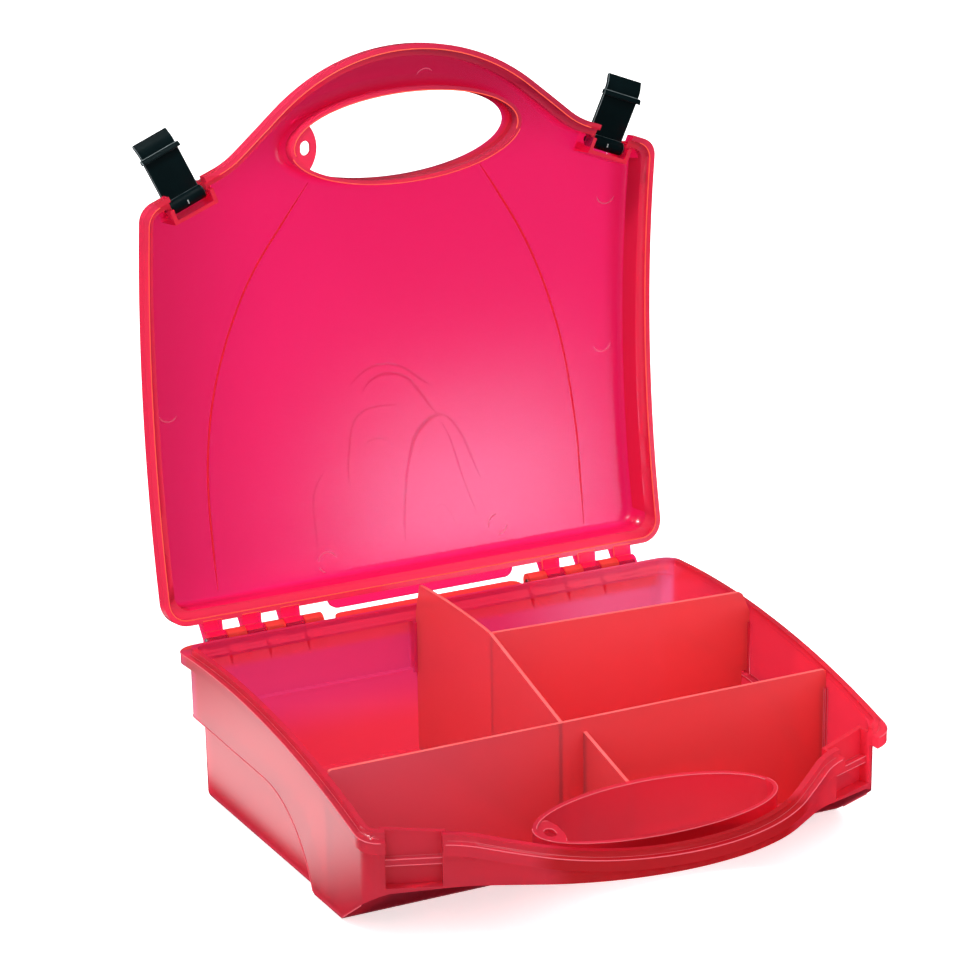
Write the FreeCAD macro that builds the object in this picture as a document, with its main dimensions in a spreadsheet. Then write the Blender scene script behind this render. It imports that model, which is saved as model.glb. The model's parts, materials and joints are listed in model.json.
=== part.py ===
import FreeCAD, Part
import math
import os

from FreeCAD import Placement, Rotation, Vector

# Hinged carry case for art supplies, moulded in translucent red plastic: a deep tray with an arched
# grip, a shallow lid, two snap-in latches and four lift-out dividers.
# Millimetres, +Z up, front towards -Y, origin in the middle of the underside.

doc = FreeCAD.newDocument("carry_case")
sheet = doc.addObject("Spreadsheet::Sheet", "Sizes")

driving_sizes = [
    # Outline of the rim seen from above
    ("half_width", 140.0),
    ("rear_edge", 90.8),
    ("rear_overhang", 5.5),
    ("shoulder_edge", 119.5),
    ("shoulder_width", 44.3),
    ("neck_depth", 17.6),
    ("arch_depth", 65.0),
    ("arch_rise", 33.0),
    ("rear_corner_radius", 12.0),
    ("front_corner_radius", 10.0),
    ("lid_corner_radius", 6.0),
    ("tray_corner_radius", 14.0),
    ("neck_radius", 40.0),
    ("least_radius", 8.0),
    # Curve of the rim seen from the side
    ("rim_crown_place", 44.0),
    ("rim_crown_height", 77.5),
    ("rim_radius", 570.0),
    ("rim_bend_place", 109.0),
    ("grip_bend_radius", 273.0),
    # Walls
    ("wall", 2.0),
    ("lip_width", 4.0),
    ("lid_lip_height", 7.0),
    ("tray_lip_height", 5.5),
    ("closing_gap", 0.4),
    ("tongue_inset", 3.2),
    ("tongue_height", 3.0),
    ("tongue_clearance", 0.5),
    ("root_depth", 1.0),
    ("cutter_margin", 30.0),
    # Tray
    ("low_inset", 8.2),
    ("tray_draft", 1.5),
    ("undercut_run", 37.9),
    ("skirt_foot", 26.0),
    ("grip_foot", 36.5),
    ("ledge_rear_height", 42.5),
    ("ledge_knee_height", 40.0),
    ("ledge_setback", 25.6),
    ("ledge_knee_radius", 56.0),
    ("foot_radius", 3.0),
    # Lid
    ("lid_height", 20.0),
    ("lid_draft", 2.4),
    ("lid_edge_radius", 4.5),
    ("open_angle", 98.0),
    # Oval finger hole in both halves
    ("oval_setback", 44.8),
    ("oval_half_width", 61.0),
    ("oval_half_depth", 21.5),
    ("tube_fillet_radius", 5.0),
    ("tab_reach", 12.0),
    ("tab_radius", 18.0),
    ("tab_thickness", 2.0),
    ("tab_sink", 1.0),
    ("tab_hole_width", 5.5),
    ("tab_hole_length", 7.2),
    # Hinges
    ("hinge_behind", 8.7),
    ("hinge_below", 1.4),
    ("hinge_from_side", 19.0),
    ("knuckle_count", 6),
    ("knuckle_pitch", 10.5),
    ("knuckle_gap", 0.5),
    ("knuckle_radius", 4.4),
    ("bracket_drop", 14.0),
    ("bracket_shelf", 2.0),
    ("pin_diameter", 3.0),
    ("pin_clearance", 0.05),
    ("flange_from_hinge", 6.0),
    ("flange_reach", 4.8),
    ("flange_rise", 1.0),
    ("flange_thickness", 2.4),
    ("flange_corner_radius", 5.0),
    ("shelf_reach", 9.2),
    ("shelf_rise", 0.8),
    ("shelf_thickness", 2.4),
    # Latches and their catches
    ("pivot_inset", 8.0),
    ("pivot_height", 9.0),
    ("barrel_diameter", 7.0),
    ("barrel_length", 19.4),
    ("trunnion_reach", 1.6),
    ("latch_length", 34.0),
    ("latch_thickness", 2.0),
    ("latch_edge_radius", 0.4),
    ("finger_lip_length", 5.0),
    ("finger_lip_reach", 2.5),
    ("finger_lip_edge", 1.0),
    ("finger_bend_radius", 6.0),
    ("hook_distance", 25.6),
    ("hook_depth", 2.5),
    ("hook_slope", 1.2),
    ("hook_thickness", 2.4),
    ("hook_width", 21.6),
    ("left_latch_lean", 97.0),
    ("right_latch_lean", 77.0),
    ("notch_half_width", 10.0),
    ("notch_depth", 13.0),
    ("recess_half_width", 13.0),
    ("recess_depth", 10.5),
    ("recess_drop", 34.0),
    ("catch_depth", 3.5),
    ("catch_thickness", 3.5),
    # Dividers
    ("divider_thickness", 1.8),
    ("divider_clearance", 0.15),
    ("divider_rise", 14.5),
    ("divider_ease", 5.0),
    ("divider_foot_radius", 6.0),
    ("divider_top_radius", 2.0),
    ("rib_depth", 2.0),
    ("rib_thickness", 1.5),
    ("centre_partition_place", 12.0),
    ("front_divider_setback", 11.6),
    ("front_divider_rise", 3.5),
    ("right_divider_place", 3.0),
    ("right_divider_drop", 3.5),
    ("front_partition_sink", 3.0),
]

for row, (alias, value) in enumerate(driving_sizes, start=1):
    sheet.set("A%d" % row, alias)
    sheet.set("B%d" % row, str(value))
    sheet.setAlias("B%d" % row, alias)
doc.recompute()


def size(alias):
    return float(sheet.get(alias))


def length_text(value):
    return "%f mm" % value


# Places worked out from the driving sizes

wall = size("wall")
root = size("root_depth")
beyond = size("cutter_margin")
closing_gap = size("closing_gap")
inner_edge = size("lip_width") + wall

half_width = size("half_width")
rear_y = size("rear_edge")
tray_rear = rear_y + size("rear_overhang")
neck_half_width = half_width - size("shoulder_width")
neck_edge = size("shoulder_edge") + size("neck_depth")
arch_edge = size("shoulder_edge") + size("arch_depth")
arch_vertex = arch_edge + size("arch_rise")
floor_front = size("shoulder_edge") - size("undercut_run")
ledge_front = floor_front - size("ledge_setback")

span = half_width + beyond
low_end = -beyond
high_end = size("rim_crown_height") + size("lid_height") + beyond
side_plane = Placement(Vector(0, 0, 0), Rotation(Vector(1, 1, 1), 120))
across = Rotation(Vector(0, 1, 0), 90)


# Document helpers

def sketch(name, geometry, placement):
    item = doc.addObject("Sketcher::SketchObject", name)
    item.addGeometry(geometry)
    item.Placement = placement
    return item


def extrusion(name, base, direction, forward, backward="0 mm"):
    item = doc.addObject("Part::Extrusion", name)
    item.Base = base
    item.DirMode = "Custom"
    item.Dir = direction
    item.setExpression("LengthFwd", forward)
    item.setExpression("LengthRev", backward)
    item.Solid = True
    return item


def loft(name, lower, upper):
    item = doc.addObject("Part::Loft", name)
    item.Sections = [lower, upper]
    item.Solid = True
    item.Ruled = True
    return item


def cut(name, base, tool):
    item = doc.addObject("Part::Cut", name)
    item.Base = base
    item.Tool = tool
    return item


def fuse(name, pieces):
    item = doc.addObject("Part::MultiFuse", name)
    item.Shapes = pieces
    return item


def common(name, pieces):
    item = doc.addObject("Part::MultiCommon", name)
    item.Shapes = pieces
    return item


def fillet(name, base, edge_numbers, radius):
    item = doc.addObject("Part::Fillet", name)
    item.Base = base
    item.Edges = [(number, radius, radius) for number in edge_numbers]
    return item


def box(name, length, width, height, placement):
    item = doc.addObject("Part::Box", name)
    item.setExpression("Length", length)
    item.setExpression("Width", width)
    item.setExpression("Height", height)
    item.Placement = placement
    return item


def cylinder(name, radius, height, placement):
    item = doc.addObject("Part::Cylinder", name)
    item.setExpression("Radius", radius)
    item.setExpression("Height", height)
    item.Placement = placement
    return item


# Outlines made of straight lines and tangent arcs

def rounded_polygon(corners, radii):
    lines_and_arcs = []
    starts = []
    ends = []
    count = len(corners)
    for index in range(count):
        here = corners[index]
        to_last = (corners[index - 1] - here).normalize()
        to_next = (corners[(index + 1) % count] - here).normalize()
        half_angle = to_last.getAngle(to_next) / 2
        reach = radii[index] / math.tan(half_angle)
        first = here + to_last * reach
        last = here + to_next * reach
        starts.append(first)
        ends.append(last)
        if radii[index] > 0:
            bisector = (to_last + to_next).normalize()
            centre = here + bisector * (radii[index] / math.sin(half_angle))
            middle = centre - bisector * radii[index]
            lines_and_arcs.append(Part.Arc(first, middle, last))
    for index in range(count):
        after = (index + 1) % count
        lines_and_arcs.append(Part.LineSegment(ends[index], starts[after]))
    return lines_and_arcs


def sharp_polygon(corners):
    return rounded_polygon(corners, [0] * len(corners))


def offset_corner(last, here, following, inset):
    before = (here - last).normalize()
    after = (following - here).normalize()
    inward_before = Vector(-before.y, before.x, 0)
    inward_after = Vector(-after.y, after.x, 0)
    scale = inset / (1 + inward_before.dot(inward_after))
    return here + (inward_before + inward_after) * scale


def rim_outline(inset, rear, front_radius):
    corners = [
        Vector(half_width, rear, 0),
        Vector(-half_width, rear, 0),
        Vector(-half_width, -size("shoulder_edge"), 0),
        Vector(-neck_half_width, -neck_edge, 0),
        Vector(0, -arch_vertex, 0),
        Vector(neck_half_width, -neck_edge, 0),
        Vector(half_width, -size("shoulder_edge"), 0),
    ]
    slope = math.atan2(arch_vertex - neck_edge, neck_half_width)
    arch_radius = size("arch_rise") / (1 / math.cos(slope) - 1)
    rear_radius = max(size("rear_corner_radius") - inset, size("least_radius"))
    neck_radius = size("neck_radius") + inset
    radii = [
        rear_radius,
        rear_radius,
        front_radius,
        neck_radius,
        arch_radius - inset,
        neck_radius,
        front_radius,
    ]
    moved = []
    for index, here in enumerate(corners):
        following = corners[(index + 1) % len(corners)]
        moved.append(offset_corner(corners[index - 1], here, following, inset))
    return rounded_polygon(moved, radii)


def outline_sketch(name, inset, height, rear, front_radius):
    outline = rim_outline(inset, rear, front_radius)
    return sketch(name, outline, Placement(Vector(0, 0, height), Rotation()))


def outline_prism(name, low_inset, high_inset, rear, front_radius):
    lower = outline_sketch(name + "_lower", low_inset, low_end, rear, front_radius)
    upper = outline_sketch(name + "_upper", high_inset, high_end, rear, front_radius)
    return loft(name, lower, upper)


# Side profiles, drawn with Y across and Z up and swept over the whole width

bend_angle = math.asin((size("rim_crown_place") + size("rim_bend_place")) / size("rim_radius"))
rim_centre = Vector(size("rim_crown_place"), size("rim_crown_height") - size("rim_radius"), 0)
bend_normal = Vector(-math.sin(bend_angle), math.cos(bend_angle), 0)
bend_point = rim_centre + bend_normal * size("rim_radius")
grip_centre = bend_point + bend_normal * size("grip_bend_radius")
far_rear = tray_rear + beyond
far_front = -arch_edge - beyond
skirt_angle = math.atan2(size("skirt_foot"), size("undercut_run"))
grip_angle = math.atan2(size("grip_foot") - size("skirt_foot"), size("arch_depth"))


def on_circle(centre, radius, place, upper):
    rise = math.sqrt(radius ** 2 - (place - centre.x) ** 2)
    return Vector(place, centre.y + (rise if upper else -rise), 0)


def rim_height(place):
    if place > bend_point.x:
        return on_circle(rim_centre, size("rim_radius"), place, True).y
    return on_circle(grip_centre, size("grip_bend_radius"), place, False).y


def arc_between(centre, radius, first, last, upper):
    return Part.Arc(
        on_circle(centre, radius, first, upper),
        on_circle(centre, radius, (first + last) / 2, upper),
        on_circle(centre, radius, last, upper),
    )


def rim_curve(offset):
    radius = size("rim_radius") + offset
    grip_radius = size("grip_bend_radius") - offset
    bend = (bend_point + bend_normal * offset).x
    return [
        arc_between(rim_centre, radius, far_rear, bend, True),
        arc_between(grip_centre, grip_radius, bend, far_front, False),
    ]


def lid_curve(offset):
    radius = size("rim_radius") + offset
    bend = bend_point + bend_normal * offset
    along = Vector(-math.cos(bend_angle), -math.sin(bend_angle), 0)
    tip = bend + along * ((bend.x - far_front) / math.cos(bend_angle))
    return [
        arc_between(rim_centre, radius, far_rear, bend.x, True),
        Part.LineSegment(bend, tip),
    ]


def level(height):
    return [Part.LineSegment(Vector(far_rear, height, 0), Vector(far_front, height, 0))]


def underside(offset):
    floor_end = Vector(-floor_front + offset * math.tan(skirt_angle / 2), offset, 0)
    lean = (skirt_angle + grip_angle) / 2
    shift = offset / math.cos((skirt_angle - grip_angle) / 2)
    skirt_end = Vector(-size("shoulder_edge"), size("skirt_foot"), 0)
    skirt_end += Vector(math.sin(lean), math.cos(lean), 0) * shift
    tip = Vector(far_front, skirt_end.y + (skirt_end.x - far_front) * math.tan(grip_angle), 0)
    return [
        Part.LineSegment(Vector(far_rear, offset, 0), floor_end),
        Part.LineSegment(floor_end, skirt_end),
        Part.LineSegment(skirt_end, tip),
    ]


def swept_profile(name, geometry):
    profile = sketch(name + "_profile", geometry, side_plane)
    return extrusion(name, profile, Vector(1, 0, 0), length_text(span), length_text(span))


def region_between(name, upper, lower):
    front = Part.LineSegment(upper[-1].EndPoint, lower[-1].EndPoint)
    rear = Part.LineSegment(lower[0].StartPoint, upper[0].StartPoint)
    return swept_profile(name, upper + lower + [front, rear])


def rim_band(name, low_offset, high_offset):
    return region_between(name, rim_curve(high_offset), rim_curve(low_offset))


def rim_ring(name, outer_inset, inner_inset, low_offset, high_offset, outer_rear=rear_y):
    radius = size("front_corner_radius")
    inner_radius = size("lid_corner_radius")
    outer = outline_prism(name + "_outer", outer_inset, outer_inset, outer_rear, radius)
    inner = outline_prism(name + "_inner", inner_inset, inner_inset, rear_y, inner_radius)
    ring = cut(name + "_ring", outer, inner)
    band = rim_band(name + "_band", low_offset, high_offset)
    return common(name, [ring, band])


# Oval finger hole and its seal tab, shared by both halves

oval_centre = Vector(0, -arch_edge + size("oval_setback"), 0)
floor_plane = Placement(Vector(0, 0, low_end), Rotation())
full_height = length_text(high_end - low_end)


def oval_prism(name, growth):
    along = oval_centre + Vector(size("oval_half_width") + growth, 0, 0)
    behind = oval_centre + Vector(0, size("oval_half_depth") + growth, 0)
    profile = sketch(name + "_profile", [Part.Ellipse(along, behind, oval_centre)], floor_plane)
    return extrusion(name, profile, Vector(0, 0, 1), full_height)


def tab_slot(name, middle):
    radius = size("tab_hole_width") / 2
    side = Vector(radius, 0, 0)
    end = Vector(0, radius, 0)
    reach = Vector(0, (size("tab_hole_length") - size("tab_hole_width")) / 2, 0)
    rear = middle + reach
    front = middle - reach
    outline = [
        Part.Arc(rear + side, rear + end, rear - side),
        Part.LineSegment(rear - side, front - side),
        Part.Arc(front - side, front - end, front + side),
        Part.LineSegment(front + side, rear + side),
    ]
    profile = sketch(name + "_profile", outline, floor_plane)
    return extrusion(name, profile, Vector(0, 0, 1), full_height)


def seal_tab(name, low_offset, high_offset):
    inside = oval_prism(name + "_oval", wall / 2)
    edge = -size("oval_half_width") + size("tab_reach")
    round_place = Vector(edge - size("tab_radius"), oval_centre.y, low_end)
    rounding = cylinder(name + "_round", "Sizes.tab_radius", full_height, Placement(round_place, Rotation()))
    band = rim_band(name + "_band", low_offset, high_offset)
    plate = common(name + "_plate", [inside, rounding, band])
    slot_middle = Vector(edge - size("tab_reach") / 2, oval_centre.y, 0)
    return cut(name, plate, tab_slot(name + "_slot", slot_middle))


# Hinge axis and the lid's resting place

rear_rim = rim_height(rear_y)
hinge_axis = Vector(0, rear_y + size("hinge_behind"), rear_rim - size("hinge_below"))
lid_open = Placement(Vector(0, 0, 0), Rotation(Vector(1, 0, 0), -size("open_angle")), hinge_axis)
knuckle_count = int(size("knuckle_count"))
hinge_length = knuckle_count * size("knuckle_pitch")
hinge_start = half_width - size("hinge_from_side") - hinge_length
bore_radius = "Sizes.pin_diameter / 2 + Sizes.pin_clearance"


def knuckle(name, start, bracket_corners):
    length = "Sizes.knuckle_pitch - Sizes.knuckle_gap"
    place = Vector(start + size("knuckle_gap") / 2, 0, 0)
    barrel_place = Placement(place + hinge_axis, across)
    barrel = cylinder(name + "_barrel", "Sizes.knuckle_radius", length, barrel_place)
    bracket_plane = Placement(place, side_plane.Rotation)
    profile = sketch(name + "_profile", sharp_polygon(bracket_corners), bracket_plane)
    bracket = extrusion(name + "_bracket", profile, Vector(1, 0, 0), length)
    return [barrel, bracket]


def knuckle_run(name, first, bracket_corners):
    pieces = []
    for slot in range(first, knuckle_count, 2):
        near = hinge_start + slot * size("knuckle_pitch")
        pieces += knuckle("%s_right_%d" % (name, slot), near, bracket_corners)
        pieces += knuckle("%s_left_%d" % (name, slot), -near - size("knuckle_pitch"), bracket_corners)
    return pieces


def knuckle_relief(name, first):
    reliefs = []
    for slot in range(first, knuckle_count, 2):
        near = hinge_start + slot * size("knuckle_pitch")
        for label, start in (("right", near), ("left", -near - size("knuckle_pitch"))):
            place = Placement(hinge_axis + Vector(start, 0, 0), across)
            item_name = "%s_%s_%d" % (name, label, slot)
            radius = "Sizes.knuckle_radius + Sizes.knuckle_gap"
            reliefs.append(cylinder(item_name, radius, "Sizes.knuckle_pitch", place))
    return reliefs


def rear_tongue(name, start, end, height, thickness):
    half = hinge_start - size("flange_from_hinge")
    radius = size("flange_corner_radius")
    corners = [
        Vector(half, start, 0),
        Vector(half, end, 0),
        Vector(-half, end, 0),
        Vector(-half, start, 0),
    ]
    outline = rounded_polygon(corners, [0, radius, radius, 0])
    profile = sketch(name + "_profile", outline, Placement(Vector(0, 0, height), Rotation()))
    return extrusion(name, profile, Vector(0, 0, 1), thickness)


def pin_bore(name):
    place = hinge_axis - Vector(span, 0, 0)
    return cylinder(name, bore_radius, length_text(2 * span), Placement(place, across))


# Shoulder frames: X along the shoulder, Y inwards, Z up, at the latch pivots of the closed lid

def shoulder_frame(side):
    slope = math.atan2(size("neck_depth"), size("shoulder_width"))
    turn = Rotation(Vector(0, 0, 1), math.degrees(slope) * side)
    middle_x = side * (half_width - size("shoulder_width") / 2)
    middle_y = -size("shoulder_edge") - size("neck_depth") / 2
    inward = turn.multVec(Vector(0, 1, 0))
    pivot = Vector(middle_x, middle_y, 0) + inward * size("pivot_inset")
    pivot.z = rim_height(pivot.y) + size("pivot_height")
    return Placement(pivot, turn)


def shoulder_box(name, frame, half, outer, inner, low, high):
    place = frame.multiply(Placement(Vector(-half, outer, low), Rotation()))
    return box(name, length_text(2 * half), length_text(inner - outer), length_text(high - low), place)


frames = {"left": shoulder_frame(-1), "right": shoulder_frame(1)}
outside = -size("pivot_inset") - beyond / 2
hook_top = -size("hook_distance") + size("hook_thickness") / 2
hook_foot = hook_top - size("hook_thickness")


def catch_recess(name, frame):
    floor = -size("recess_drop")
    back = size("recess_depth") - size("pivot_inset")
    half = size("recess_half_width")
    liner = shoulder_box(name + "_liner", frame, half + wall, outside, back + wall, floor - wall, 0)
    pocket = shoulder_box(name + "_pocket", frame, half, outside, back, floor, beyond)
    low = hook_top + closing_gap
    high = low + size("catch_thickness")
    face = back - size("catch_depth")
    catch = shoulder_box(name + "_catch", frame, half + wall / 2, face, back + wall / 2, low, high)
    return liner, pocket, catch


def latch_notch(name, frame):
    back = size("notch_depth") - size("pivot_inset")
    half = size("notch_half_width")
    liner = shoulder_box(name + "_liner", frame, half + wall, outside, back + wall, -beyond, beyond)
    pocket = shoulder_box(name + "_pocket", frame, half, outside, back, -beyond, beyond)
    reach = half + wall + root
    place = frame.multiply(Placement(Vector(-reach, 0, 0), across))
    bore = cylinder(name + "_bore", bore_radius, length_text(2 * reach), place)
    return liner, pocket, bore


# Tray, drawn in to a narrower foot below a ledge on its sides and rear

ledge_slope = (size("ledge_rear_height") - size("ledge_knee_height")) / (rear_y + ledge_front)


def ledge_height(place):
    return size("ledge_knee_height") + (place + ledge_front) * ledge_slope


def tray_body(name, grow_in, rise, top):
    inset = size("lip_width") + grow_in
    draft = size("tray_draft")
    radius = size("tray_corner_radius")
    walls = outline_prism(name + "_walls", inset + draft, inset, tray_rear, radius)
    side = region_between(name + "_side", top, underside(rise))
    body = common(name + "_full", [walls, side])
    knee = Vector(-ledge_front - rise, size("ledge_knee_height") + rise, 0)
    rear = far_rear + beyond
    low_corners = [
        Vector(rear, knee.y + (rear - knee.x) * ledge_slope, 0),
        knee,
        Vector(knee.x, low_end - beyond, 0),
        Vector(rear, low_end - beyond, 0),
    ]
    low_radii = [0, size("ledge_knee_radius") + rise, 0, 0]
    low_side = swept_profile(name + "_low_side", rounded_polygon(low_corners, low_radii))
    core_inset = size("low_inset") + grow_in
    core = outline_prism(name + "_low_core", core_inset + draft, core_inset, tray_rear, radius)
    low_ring = cut(name + "_low_ring", low_side, core)
    return cut(name, body, low_ring)


def rounded_foot(name, body, radius):
    doc.recompute()
    chosen = []
    for number, edge in enumerate(body.Shape.Edges, start=1):
        highest = max(vertex.Z for vertex in edge.Vertexes)
        if highest < root:
            chosen.append(number)
    return fillet(name, body, chosen, radius)


tray_block = tray_body("tray_block", 0, 0, rim_curve(0))
tray_outer = rounded_foot("tray_outer", tray_block, size("foot_radius"))
tray_inner = tray_body("tray_inner", wall, wall, level(high_end - root))
tray_walls = cut("tray_walls", tray_outer, tray_inner)
tray_lip = rim_ring("tray_lip", 0, inner_edge, -size("tray_lip_height"), 0, tray_rear)
tray_tongue = rim_ring("tray_tongue", size("tongue_inset"), inner_edge, -root, size("tongue_height"))

tray_tube = common(
    "tray_tube",
    [
        oval_prism("tray_oval", wall),
        region_between("tray_tube_side", rim_curve(0), underside(0)),
    ],
)
tray_hole = oval_prism("tray_hole", 0)
tray_tab = seal_tab("tray_tab", -size("tab_sink") - size("tab_thickness"), -size("tab_sink"))

recesses = [catch_recess("tray_recess_" + side, frame) for side, frame in frames.items()]
recess_envelope = common(
    "recess_envelope",
    [
        outline_prism(
            "recess_outline",
            size("lip_width") + size("tray_draft"),
            size("lip_width"),
            tray_rear,
            size("tray_corner_radius"),
        ),
        region_between("recess_side", rim_curve(0), underside(0)),
    ],
)
recess_liner_pair = fuse("recess_liner_pair", [liner for liner, pocket, catch in recesses])
recess_liners = common("recess_liners", [recess_liner_pair, recess_envelope])
recess_pockets = [pocket for liner, pocket, catch in recesses]
catches = [catch for liner, pocket, catch in recesses]

lip_root = tray_rear - size("lip_width")
bracket_root = lip_root - root
bracket_top = rim_height(tray_rear) - closing_gap
tray_bracket = [
    Vector(bracket_root, bracket_top, 0),
    Vector(bracket_root, rear_rim - size("bracket_drop"), 0),
    Vector(hinge_axis.y, hinge_axis.z - size("knuckle_radius"), 0),
    Vector(hinge_axis.y, bracket_top, 0),
]
tray_knuckles = knuckle_run("tray_knuckle", 0, tray_bracket)
knuckle_reliefs = knuckle_relief("tray_relief", 1)
shelf_height = rear_rim + size("shelf_rise") - size("shelf_thickness")
shelf_end = rear_y + size("shelf_reach")
tray_shelf = rear_tongue("tray_shelf", lip_root, shelf_end, shelf_height, "Sizes.shelf_thickness")


# Ribs that hold the ends of the dividers, in pairs

front_place = -floor_front + size("front_divider_setback")
front_top = rim_height(front_place) + size("front_divider_rise")
partition_x = -size("centre_partition_place")
right_y = size("right_divider_place")
half_thick = size("divider_thickness") / 2
side_wall = half_width - inner_edge
rear_wall = rear_y - inner_edge
tray_rear_wall = tray_rear - inner_edge


def rib_pair(name, foot, facing, height, depth="Sizes.rib_depth"):
    ribs = []
    gap = half_thick + size("divider_clearance")
    turn = Rotation(Vector(0, 0, 1), facing)
    for label, start in (("first", gap), ("second", -gap - size("rib_thickness"))):
        place = Placement(foot + turn.multVec(Vector(0, start, 0)), turn)
        rib_height = length_text(height)
        ribs.append(box(name + label, depth, "Sizes.rib_thickness", rib_height, place))
    return ribs


def rib_top(place):
    return rim_height(place) - size("tray_lip_height")


right_foot = ledge_height(right_y) + wall / 2
rear_foot = ledge_height(tray_rear_wall) + wall / 2
front_rib_height = rib_top(front_place) - wall / 2
face_right = 0
face_left = 180
face_front = -90
ribs = rib_pair(
    "front_left_rib_", Vector(-side_wall, front_place, wall / 2), face_right, front_rib_height
)
ribs += rib_pair(
    "front_right_rib_", Vector(side_wall, front_place, wall / 2), face_left, front_rib_height
)
ribs += rib_pair(
    "right_rib_", Vector(side_wall, right_y, right_foot), face_left, rib_top(right_y) - right_foot
)
ribs += rib_pair(
    "rear_rib_",
    Vector(partition_x, tray_rear_wall, rear_foot),
    face_front,
    rib_top(tray_rear_wall) - rear_foot,
    "Sizes.rib_depth + Sizes.rear_overhang",
)

tray_solid = fuse(
    "tray_solid",
    [tray_walls, tray_lip, tray_tongue, tray_tube, tray_shelf, recess_liners] + tray_knuckles + ribs,
)
tray_openings = fuse(
    "tray_openings", [tray_hole, pin_bore("tray_pin_bore")] + recess_pockets + knuckle_reliefs
)
tray_open = cut("tray_open", tray_solid, tray_openings)
base_shell = fuse("base_shell", [tray_open, tray_tab] + catches)


# Lid, drawn closed and turned open at the end

lid_height = size("lid_height")


def lid_prism(name, grow_in):
    inset = size("lip_width") + grow_in
    crown = size("rim_crown_height")
    low = rim_height(-arch_edge) - size("lid_lip_height")
    high = crown + lid_height + root
    flare = size("lid_draft") / 2 * (crown - low) / lid_height
    radius = size("lid_corner_radius")
    lower = outline_sketch(name + "_lower", inset - flare, low, rear_y, radius)
    upper = outline_sketch(name + "_upper", inset + size("lid_draft"), high, rear_y, radius)
    return loft(name, lower, upper)


def on_panel(point, offset):
    flat = Vector(point.y, point.z, 0)
    from_crown = (flat - rim_centre).Length - size("rim_radius") - offset
    from_slope = (flat - bend_point).dot(bend_normal) - offset
    nearness = 1e-3
    if abs(from_slope) < nearness and flat.x < bend_point.x:
        return True
    return abs(from_crown) < nearness


def rounded_panel(name, body, offset, radius):
    doc.recompute()
    straight = 0.999
    chosen = []
    for number, edge in enumerate(body.Shape.Edges, start=1):
        middle = edge.valueAt((edge.FirstParameter + edge.LastParameter) / 2)
        along_x = abs(edge.tangentAt(edge.FirstParameter).x) > straight
        panel_bend = along_x and middle.y < rear_y / 2
        if on_panel(middle, offset) and not panel_bend:
            chosen.append(number)
    return fillet(name, body, chosen, radius)


def rounded_tube(name, body, offset, radius):
    doc.recompute()
    chosen = []
    for number, edge in enumerate(body.Shape.Edges, start=1):
        middle = edge.valueAt((edge.FirstParameter + edge.LastParameter) / 2)
        beside = middle.x / (size("oval_half_width") + wall)
        behind = (middle.y - oval_centre.y) / (size("oval_half_depth") + wall)
        nearness = 1e-3
        if abs(math.hypot(beside, behind) - 1) < nearness and on_panel(middle, offset):
            chosen.append(number)
    return fillet(name, body, chosen, radius)


def lid_region(name):
    return region_between(name, lid_curve(lid_height), rim_curve(closing_gap))


lid_block = common("lid_block", [lid_prism("lid_outer_walls", 0), lid_region("lid_outer_side")])
lid_outer = rounded_panel("lid_outer", lid_block, lid_height, size("lid_edge_radius"))
lid_cavity = common(
    "lid_cavity",
    [
        lid_prism("lid_inner_walls", wall),
        region_between("lid_inner_side", lid_curve(lid_height - wall), level(low_end)),
    ],
)
lid_inner = rounded_panel("lid_inner", lid_cavity, lid_height - wall, size("lid_edge_radius") - wall)
lid_hollow = cut("lid_hollow", lid_inner, oval_prism("lid_oval", wall))
lid_space = rounded_tube("lid_space", lid_hollow, lid_height - wall, size("tube_fillet_radius"))
lid_walls = cut("lid_walls", lid_outer, lid_space)
lid_lip = rim_ring("lid_lip", 0, inner_edge, closing_gap, size("lid_lip_height"))
rebate_inset = size("tongue_inset") - size("tongue_clearance")
rebate_top = size("tongue_height") + size("tongue_clearance")
lid_rebate = rim_ring("lid_rebate", rebate_inset, inner_edge + root, -beyond / 2, rebate_top)
lid_hole = oval_prism("lid_hole", 0)
lid_tab = seal_tab("lid_tab", size("tab_sink"), size("tab_sink") + size("tab_thickness"))

notches = [latch_notch("lid_notch_" + side, frame) for side, frame in frames.items()]
notch_liner_pair = fuse("notch_liner_pair", [liner for liner, pocket, bore in notches])
notch_liners = common(
    "notch_liners", [notch_liner_pair, lid_prism("notch_outline", 0), lid_region("notch_side")]
)
notch_pockets = [pocket for liner, pocket, bore in notches]
trunnion_bores = [bore for liner, pocket, bore in notches]

lip_top = rear_rim + size("lid_lip_height")
lid_bracket = [
    Vector(rear_y - root, rear_rim + closing_gap, 0),
    Vector(hinge_axis.y, rear_rim + closing_gap, 0),
    Vector(hinge_axis.y, hinge_axis.z + size("knuckle_radius"), 0),
    Vector(rear_y + size("bracket_shelf"), lip_top, 0),
    Vector(rear_y - root, lip_top, 0),
]
lid_knuckles = knuckle_run("lid_knuckle", 1, lid_bracket)

flange_height = rear_rim + closing_gap + size("flange_rise")
flange_end = rear_y + size("flange_reach")
lid_flange = rear_tongue("lid_flange", rear_y - root, flange_end, flange_height, "Sizes.flange_thickness")

lid_solid = fuse("lid_solid", [lid_walls, lid_lip, notch_liners, lid_flange] + lid_knuckles)
lid_openings = fuse(
    "lid_openings", [lid_hole, lid_rebate, pin_bore("lid_pin_bore")] + notch_pockets + trunnion_bores
)
lid_cut = cut("lid_cut", lid_solid, lid_openings)
lid_shell = fuse("lid_shell", [lid_cut, lid_tab])
lid_shell.Placement = lid_open


# Hinge pins

def hinge_pin(name, start):
    place = Placement(hinge_axis + Vector(start, 0, 0), across)
    return cylinder(name, "Sizes.pin_diameter / 2", "Sizes.knuckle_count * Sizes.knuckle_pitch", place)


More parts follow.
